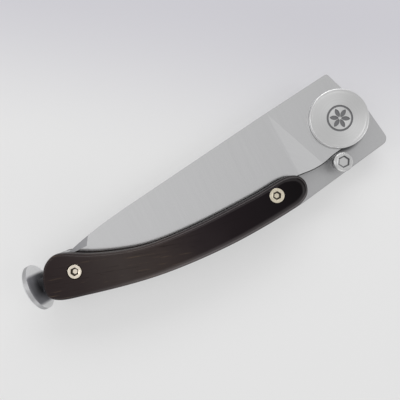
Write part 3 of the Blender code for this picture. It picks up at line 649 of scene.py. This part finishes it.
frontLow, frontHigh = (corner.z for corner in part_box("front_scale"))
backLow, backHigh = (corner.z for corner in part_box("back_scale"))
frontScale = makeScale("frontScale", "front_scale", frontLow, frontHigh, 1)
backScale = makeScale("backScale", "back_scale", backHigh, backLow, -1)
counterbore = {"gap": 0.1, "past": 1.0, "steps": 48}
for position in ("fore", "aft"):
    for piece, node in ((frontScale, f"front_{position}_screw"), (backScale, f"back_{position}_screw")):
        low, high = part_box(node)
        radius = (high.x - low.x) / 2 + counterbore["gap"] * mm
        half = (high.z - low.z + 2 * counterbore["past"] * mm) / 2
        profile = [(0, half), (radius, half), (radius, -half), (0, -half)]
        mesh = turnedMesh(node + "Bore", profile, counterbore["steps"])
        cut(piece, makeCutter(node + "Bore", mesh, (low + high) / 2))
for piece in (frontScale, backScale):
    weighNormals(piece)
print("scales made")


# Steel pieces

blade = weldedCopy("blade", "bladeLeaf", bladeSteel, "blade")
bladeFacets = [  # the direction of a facet, with its finish: painted light on the ramp, painted shade on the tip bevel
    ((-0.152, -0.06, 0.987), rampFinish),
    ((-0.006, 0.137, 0.991), paintedShadeTipBevelFinish),
]
facetTolerance = 0.02
for index, (direction, finish) in enumerate(bladeFacets, start=1):
    blade.data.materials.append(finish)
    for face in blade.data.polygons:
        mirrored = Vector((face.normal.x, face.normal.y, abs(face.normal.z)))
        if (mirrored - Vector(direction)).length < facetTolerance:
            face.material_index = index
easedEdge = {  # the tang's lower edge, whose bevel carries a painted shadow line for the gap beneath it
    "width": 0.24, "from": 24,  # from this place along the handle
    "down": -0.4,  # its wall looks at least this far towards the belly
    "wallRise": 0.1, "flatRise": 0.9,  # how far the normals of walls rise at most, and of flat faces at least
}


def easeTang(piece, s):
    # a narrow bevel along the tang's lower edge that carries the painted shadow line
    piece.data.materials.append(paintedShadowLineSteel)
    work = bmesh.new()
    work.from_mesh(piece.data)
    weights = work.edges.layers.float.new("bevel_weight_edge")
    for edge in work.edges:
        walls = [face for face in edge.link_faces if abs(face.normal.z) < s["wallRise"]]
        flats = [face for face in edge.link_faces if abs(face.normal.z) > s["flatRise"]]
        if walls and flats and walls[0].normal.y < s["down"] and edge.verts[0].co.x > s["from"] * mm:
            edge[weights] = 1.0
    work.to_mesh(piece.data)
    work.free()
    bevel = piece.modifiers.new("easedEdge", "BEVEL")
    bevel.width = s["width"] * mm
    bevel.segments = 1
    bevel.limit_method = "WEIGHT"
    bevel.use_clamp_overlap = False
    bevel.material = len(piece.data.materials) - 1


easeTang(blade, easedEdge)
brokenEdge = {"spacer": 0.1, "tamper": 0.14, "pivotScrew": 0.08, "washer": 0.04}  # widths in mm
weldedCopy("frame_plate", "framePlate", plateSteel, "handle")
weldedCopy("spacer", "spacerBar", plateSteel, "handle", brokenEdge["spacer"])
tamper = weldedCopy("tamper", "tamperFoot", tamperSteel, "handle", brokenEdge["tamper"])
tamper.data.materials.append(rimFinish)
for face in tamper.data.polygons:  # the polish of the foot's face stops at its rim
    reach = (face.center - Vector(tamperAxis)).yz.length
    atRim = abs(face.normal.x) < tamperFoot["rimFacing"] and reach > tamperFoot["rimFrom"] * footRadius
    face.material_index = int(atRim)
weldedCopy("pivot_screw", "pivotScrew", screwMetal, "handle", brokenEdge["pivotScrew"])
for side in ("front", "back"):
    weldedCopy(f"{side}_washer", side + "Washer", bronze, "handle", brokenEdge["washer"])
print("steel pieces made")


# Socket screws

scaleScrew = {
    "head": 2.05, "height": 1.3, "edge": 0.22, "drop": 0.22, "shank": 0.75, "lip": 0.05, "steps": 64,
    "socket": 2.1, "socketDepth": 0.6, "floor": 0.7,
}
foreScaleScrew = {**scaleScrew, "edge": 0.08, "drop": 0.08}  # with a narrower edge
stopScrewHead = {
    "head": 2.7, "height": 1.5, "edge": 0.34, "drop": 0.3, "shank": 1.6, "lip": 0.06, "steps": 80,
    "socket": 3.0, "socketDepth": 0.4, "floor": 1.3,
}


def socketMesh(name, width, depth, floor, above, paintedShade, bright):
    # a hexagon bar as wide across its flats as given. Its walls carry a painted shade, and the middle of its
    # floor has the screw's own finish.
    mesh = bpy.data.meshes.new(name)
    mesh.materials.append(paintedShade)
    mesh.materials.append(bright)
    work = bmesh.new()
    radius = width / 2 / math.cos(math.pi / 6)
    rings = [[work.verts.new((reach * math.cos(math.pi / 3 * i), reach * math.sin(math.pi / 3 * i), height))
              for i in range(6)] for reach, height in ((radius, above), (radius, -depth), (floor, -depth))]
    work.faces.new(rings[0])
    for upper, lower in zip(rings, rings[1:]):
        for i in range(6):
            j = (i + 1) % 6
            work.faces.new((upper[i], lower[i], lower[j], upper[j]))
    work.faces.new(rings[2]).material_index = 1
    bmesh.ops.recalc_face_normals(work, faces=work.faces)
    work.to_mesh(mesh)
    work.free()
    return mesh


def makeSocketScrew(node, name, s, material, paintedShade, up=1):
    # the head lies at the upper end of the node's box, or at the lower end where up is -1
    low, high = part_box(node)
    middle = (low + high) / 2
    top = high.z if up > 0 else low.z
    head, edge, drop, shank, height = (s[key] * mm for key in ("head", "edge", "drop", "shank", "height"))
    length = high.z - low.z
    profile = [(0, 0), (head - edge, 0), (head, -drop), (head, -height), (shank, -height), (shank, -length),
               (0, -length)]
    mesh = turnedMesh(name, profile, s["steps"])
    turn = Matrix.Rotation(0 if up > 0 else math.pi, 4, "X")
    mesh.transform(Matrix.Translation((middle.x, middle.y, top)) @ turn)
    piece = addPiece(name, mesh, material, "handle", [node])
    mesh.materials.append(paintedLightEdgeFinish)
    for face in mesh.polygons:  # the shank and the underside of the head: pale painted light in their shade
        face.material_index = int(abs(face.center.z - top) > height - s["lip"] * mm)
    hexagon = socketMesh(name + "Socket", s["socket"] * mm, s["socketDepth"] * mm, s["floor"] * mm, height,
                         paintedShade, material)
    hexagon.transform(turn)
    cut(piece, makeCutter(name + "Socket", hexagon, (middle.x, middle.y, top)))
    bevel = piece.modifiers.new("lips", "BEVEL")
    bevel.width = s["lip"] * mm
    bevel.segments = 2
    bevel.limit_method = "ANGLE"
    bevel.angle_limit = sharpAngle
    weighNormals(piece)


# the hand rests on the fore screws and rubs them dull
for position, settings, finish in (("fore", foreScaleScrew, wornNickel), ("aft", scaleScrew, nickel)):
    for side, up in (("front", 1), ("back", -1)):
        name = side + position.capitalize() + "Screw"
        makeSocketScrew(f"{side}_{position}_screw", name, settings, finish, socketShadeSteel, up)
# the stop screw's socket walls carry the etched grey as a painted shade
makeSocketScrew("stop_screw", "stopScrew", stopScrewHead, screwMetal, etchAndSocketShadeSteel)
print("socket screws made")


# Pivot disc

pivotDisc = {
    "radius": 8.2, "rimRound": 0.25, "roundSteps": 6, "crown": 0.05, "crownSteps": 8,
    "skirtRadius": 7.2, "skirtDrop": 0.45,  # the rim reaches down past the washer, nearly to the blade
    "spigotRadius": 1.7, "spigotLength": 3.0, "steps": 144,
    "lineRadius": 7.4, "lineHalf": 0.08, "lineDepth": 0.02,  # a fine line turned in the face
    "edgeFacing": 0.8,  # faces whose normal rises less than this have the edge's finish
}
discMark = {
    "depth": 0.14, "petal": (0.3, 2.85), "petalWidth": 1.2, "petals": 6, "steps": 12,
    "ring": (3.1, 3.65), "ringSteps": 96,
    "ringTurn": 1 / 6,  # in steps, so that no corner lies on a spoke of the disc's mesh
}


def makePivotDisc(s):
    low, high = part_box("pivot_disc")
    top = high.z - low.z - s["spigotLength"] * mm
    radius = s["radius"] * mm
    edge = s["rimRound"] * mm
    crown = s["crown"] * mm
    inner = radius - edge
    profile = [(0, top)]
    for step in range(1, s["crownSteps"]):  # the face falls away a little towards its rim
        share = step / s["crownSteps"]
        profile.append((inner * share, top - crown * share ** 2))
    for aside, deep in ((-1, 0), (0, 1), (1, 0)):
        reach = (s["lineRadius"] + aside * s["lineHalf"]) * mm
        profile.append((reach, top - crown * (reach / inner) ** 2 - deep * s["lineDepth"] * mm))
    for step in range(s["roundSteps"] + 1):
        angle = math.pi / 2 * step / s["roundSteps"]
        profile.append((inner + edge * math.sin(angle), top - crown - edge * (1 - math.cos(angle))))
    spigot = s["spigotRadius"] * mm
    foot = -s["spigotLength"] * mm
    skirt, drop = s["skirtRadius"] * mm, s["skirtDrop"] * mm
    profile += [(radius, -drop), (skirt, -drop), (skirt, 0), (spigot, 0), (spigot, foot), (0, foot)]
    mesh = turnedMesh("pivotDisc", profile, s["steps"])
    halfStep = Matrix.Rotation(math.pi / s["steps"], 4, "Z")  # keeps the spokes off the petals' tips
    mesh.transform(Matrix.Translation((pivot.x, pivot.y, low.z - foot)) @ halfStep)
    piece = addPiece("pivotDisc", mesh, discSteel, "handle", ["pivot_disc"])
    mesh.materials.append(paintedLightEdgeFinish)
    # the disc's rim and wall take the pale painted light
    for face in mesh.polygons:
        face.material_index = int(abs(face.normal.z) < s["edgeFacing"])
    return piece


def petalOutline(s):
    # a petal lies between two arcs that meet near the centre and near the ring
    start, end = (reach * mm for reach in s["petal"])
    half = (end - start) / 2
    rise = s["petalWidth"] * mm / 2
    radius = (half ** 2 + rise ** 2) / (2 * rise)
    sweep = math.asin(half / radius)
    turns = [sweep * (2 * i / s["steps"] - 1) for i in range(s["steps"] + 1)]
    upper = [Vector((start + half + radius * math.sin(turn), radius * math.cos(turn) - radius + rise))
             for turn in turns]
    return upper + [Vector((p.x, -p.y)) for p in reversed(upper[1:-1])]


def makeDiscMark(s, disc):
    # a plain six-petalled flower in a ring, engraved and darkened
    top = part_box("pivot_disc")[1].z
    depth = s["depth"] * mm
    inner, outer = (radius * mm for radius in s["ring"])
    work = bmesh.new()
    steps = s["ringSteps"]
    for i in range(steps):
        angle = 2 * math.pi * (i + s["ringTurn"]) / steps
        for radius, height in ((inner, -depth), (outer, -depth), (outer, depth), (inner, depth)):
            work.verts.new((radius * math.cos(angle), radius * math.sin(angle), height))
    work.verts.ensure_lookup_table()
    for i in range(steps):
        here, ahead = 4 * i, 4 * ((i + 1) % steps)
        for k in range(4):
            after = (k + 1) % 4
            work.faces.new([work.verts[n] for n in (here + k, ahead + k, ahead + after, here + after)])
    outline = petalOutline(s)
    for petal in range(s["petals"]):
        turn = Matrix.Rotation(2 * math.pi * petal / s["petals"] + math.pi / 2, 2)
        foot = [work.verts.new((*(turn @ point), -depth)) for point in outline]
        lid = [work.verts.new((*(turn @ point), depth)) for point in outline]
        work.faces.new(foot)
        work.faces.new(lid)
        for i in range(len(outline)):
            j = (i + 1) % len(outline)
            work.faces.new((foot[i], foot[j], lid[j], lid[i]))
    bmesh.ops.recalc_face_normals(work, faces=work.faces)
    mesh = bpy.data.meshes.new("discMark")
    work.to_mesh(mesh)
    work.free()
    cut(disc, makeCutter("discMark", mesh, (pivot.x, pivot.y, top), etchAndSocketShadeSteel))


disc = makePivotDisc(pivotDisc)
makeDiscMark(discMark, disc)
weighNormals(disc)
print("pivot disc made")

# inner pieces that stay as packed
innerPieces = {
    "pivot_sleeve": screwMetal, "fore_sleeve": nickel, "aft_sleeve": nickel,
    "spacer_dowel": screwMetal, "tamper_dowel": screwMetal,
}
for node, material in innerPieces.items():
    frame["nodes"][node].data.materials.clear()
    frame["nodes"][node].data.materials.append(material)


# Camera, light and floor

cameraView = {"place": (-1.2705, -0.2271, 121.4), "turn": -27, "lens": 36, "sensor": 36}  # mm and degrees
camera = bpy.data.objects.new("camera", bpy.data.cameras.new("camera"))
bpy.context.scene.collection.objects.link(camera)
camera.location = Vector(cameraView["place"]) * mm
camera.rotation_euler = (0, 0, math.radians(cameraView["turn"]))
camera.data.lens = cameraView["lens"]
camera.data.sensor_width = cameraView["sensor"]
camera.data.clip_start = 1 * mm
bpy.context.scene.camera = camera

floorSettings = {
    "size": 4.0, "drop": 0.02, "colour": "#EAEAEA", "roughness": 0.9, "ownLight": 0.5,
    "far": "#D0CFD5", "farTurn": 8, "farStart": 6, "farEnd": 62,  # the tone further back, and its place
}


def seenRays(tree):
    # 1 where the camera looks, straight or by way of metal or glass
    ray = addNode(tree, "ShaderNodeLightPath").outputs
    seen = addNode(tree, "ShaderNodeMath", {
        0: ray["Is Camera Ray"], 1: ray["Is Glossy Ray"]}, operation="ADD").outputs[0]
    return addNode(tree, "ShaderNodeMath", {
        0: seen, 1: ray["Is Transmission Ray"]}, operation="ADD", use_clamp=True).outputs[0]


def makeFloor(s):
    mesh = bpy.data.meshes.new("floor")
    work = bmesh.new()
    bmesh.ops.create_grid(work, x_segments=1, y_segments=1, size=s["size"] / 2)
    work.to_mesh(mesh)
    work.free()
    floor = bpy.data.objects.new("floor", mesh)
    bpy.context.scene.collection.objects.link(floor)
    floor.location.z = -s["drop"] * mm
    # plain pale surface, a little darker and cooler further back. Seen by the camera or in metal, part of its
    # tone is its own light, which keeps the knife's shadow soft.
    material, tree = startMaterial("paleFloor")
    spot = place(tree, turn=math.radians(s["farTurn"] - cameraView["turn"]))
    back = addNode(tree, "ShaderNodeSeparateXYZ", {"Vector": spot}).outputs["Y"]
    share = addNode(tree, "ShaderNodeMapRange", {
        "Value": back, "From Min": s["farStart"] * mm, "From Max": s["farEnd"] * mm},
        interpolation_type="SMOOTHSTEP")
    tone = addNode(tree, "ShaderNodeMix", {
        "Factor": share.outputs[0], 6: linear(s["colour"]), 7: linear(s["far"])}, data_type="RGBA")
    shader = addNode(tree, "ShaderNodeBsdfPrincipled", {
        "Base Color": tone.outputs[2], "Roughness": s["roughness"], "Specular IOR Level": 0.0})
    light = addNode(tree, "ShaderNodeEmission", {"Color": tone.outputs[2], "Strength": 1.0})
    part = addNode(tree, "ShaderNodeMath", {0: seenRays(tree), 1: s["ownLight"]}, operation="MULTIPLY")
    mixed = addNode(tree, "ShaderNodeMixShader", {
        "Fac": part.outputs[0], 1: shader.outputs["BSDF"], 2: light.outputs["Emission"]})
    addNode(tree, "ShaderNodeOutputMaterial", {"Surface": mixed.outputs[0]})
    mesh.materials.append(material)


worldSettings = {
    "zenith": 0.78, "horizon": 0.62, "soft": 0.52,  # brightness overhead, low down, and as a light
    "brighterTowards": (-0.21, 0.1, 0), "brighterFrom": (0.2, 0.8),  # it comes in between these heights
}


def makeWorld(s):
    # pale surroundings, a little darker towards the horizon and brighter over the butt of the handle.
    # They are dimmer as a light for dull surfaces, so that the panels cast the shadows.
    world = bpy.data.worlds.new("studio")
    world.use_nodes = True
    bpy.context.scene.world = world
    tree = world.node_tree
    tree.nodes.clear()
    way = addNode(tree, "ShaderNodeTexCoord").outputs["Generated"]
    up = addNode(tree, "ShaderNodeSeparateXYZ", {"Vector": way}).outputs["Z"]
    level = addNode(tree, "ShaderNodeMapRange", {
        "Value": up, "From Min": 0.0, "From Max": 1.0, "To Min": s["horizon"], "To Max": s["zenith"]})
    lean = addNode(tree, "ShaderNodeVectorMath", {0: way, 1: s["brighterTowards"]}, operation="DOT_PRODUCT")
    held = addNode(tree, "ShaderNodeMapRange", {
        "Value": up, "From Min": s["brighterFrom"][0], "From Max": s["brighterFrom"][1]})
    seenLevel = addNode(tree, "ShaderNodeMath", {
        0: lean.outputs["Value"], 1: held.outputs[0], 2: level.outputs[0]}, operation="MULTIPLY_ADD")
    strength = addNode(tree, "ShaderNodeMix", {
        "Factor": seenRays(tree), "A": s["soft"], "B": seenLevel.outputs[0]}, data_type="FLOAT")
    glow = addNode(tree, "ShaderNodeBackground", {"Color": (1, 1, 1, 1), "Strength": strength.outputs[0]})
    addNode(tree, "ShaderNodeOutputWorld", {"Surface": glow.outputs[0]})


# each panel faces the knife from its direction, with its sides in metres.
# Its glow is its brightness beside white.
panelDistance = 0.9
softPanels = [
    {"name": "leftPanel", "towards": (-0.68, 0.35, 0.64), "size": (0.36, 0.48), "glow": 1.7},
    {"name": "rightPanel", "towards": (0.66, -0.34, 0.67), "size": (0.36, 0.48), "glow": 1.6},
    {"name": "backPanel", "towards": (0.37, 0.73, 0.57), "size": (0.84, 0.36), "glow": 3.6},
    {"name": "lowPanel", "towards": (-0.4, -0.86, 0.3), "size": (1.0, 0.2), "glow": 1.5},
]


def makeSoftPanel(s):
    lamp = bpy.data.lights.new(s["name"], "AREA")
    lamp.shape = "RECTANGLE"
    lamp.size, lamp.size_y = s["size"]
    lamp.energy = s["glow"] * math.pi * lamp.size * lamp.size_y
    panel = bpy.data.objects.new(s["name"], lamp)
    bpy.context.scene.collection.objects.link(panel)
    towards = Vector(s["towards"]).normalized()
    panel.location = towards * panelDistance
    panel.rotation_euler = towards.to_track_quat("Z", "Y").to_euler()


makeFloor(floorSettings)
makeWorld(worldSettings)
for settings in softPanels:
    makeSoftPanel(settings)
bpy.context.scene.view_settings.view_transform = "Standard"
print("camera, light and floor made")
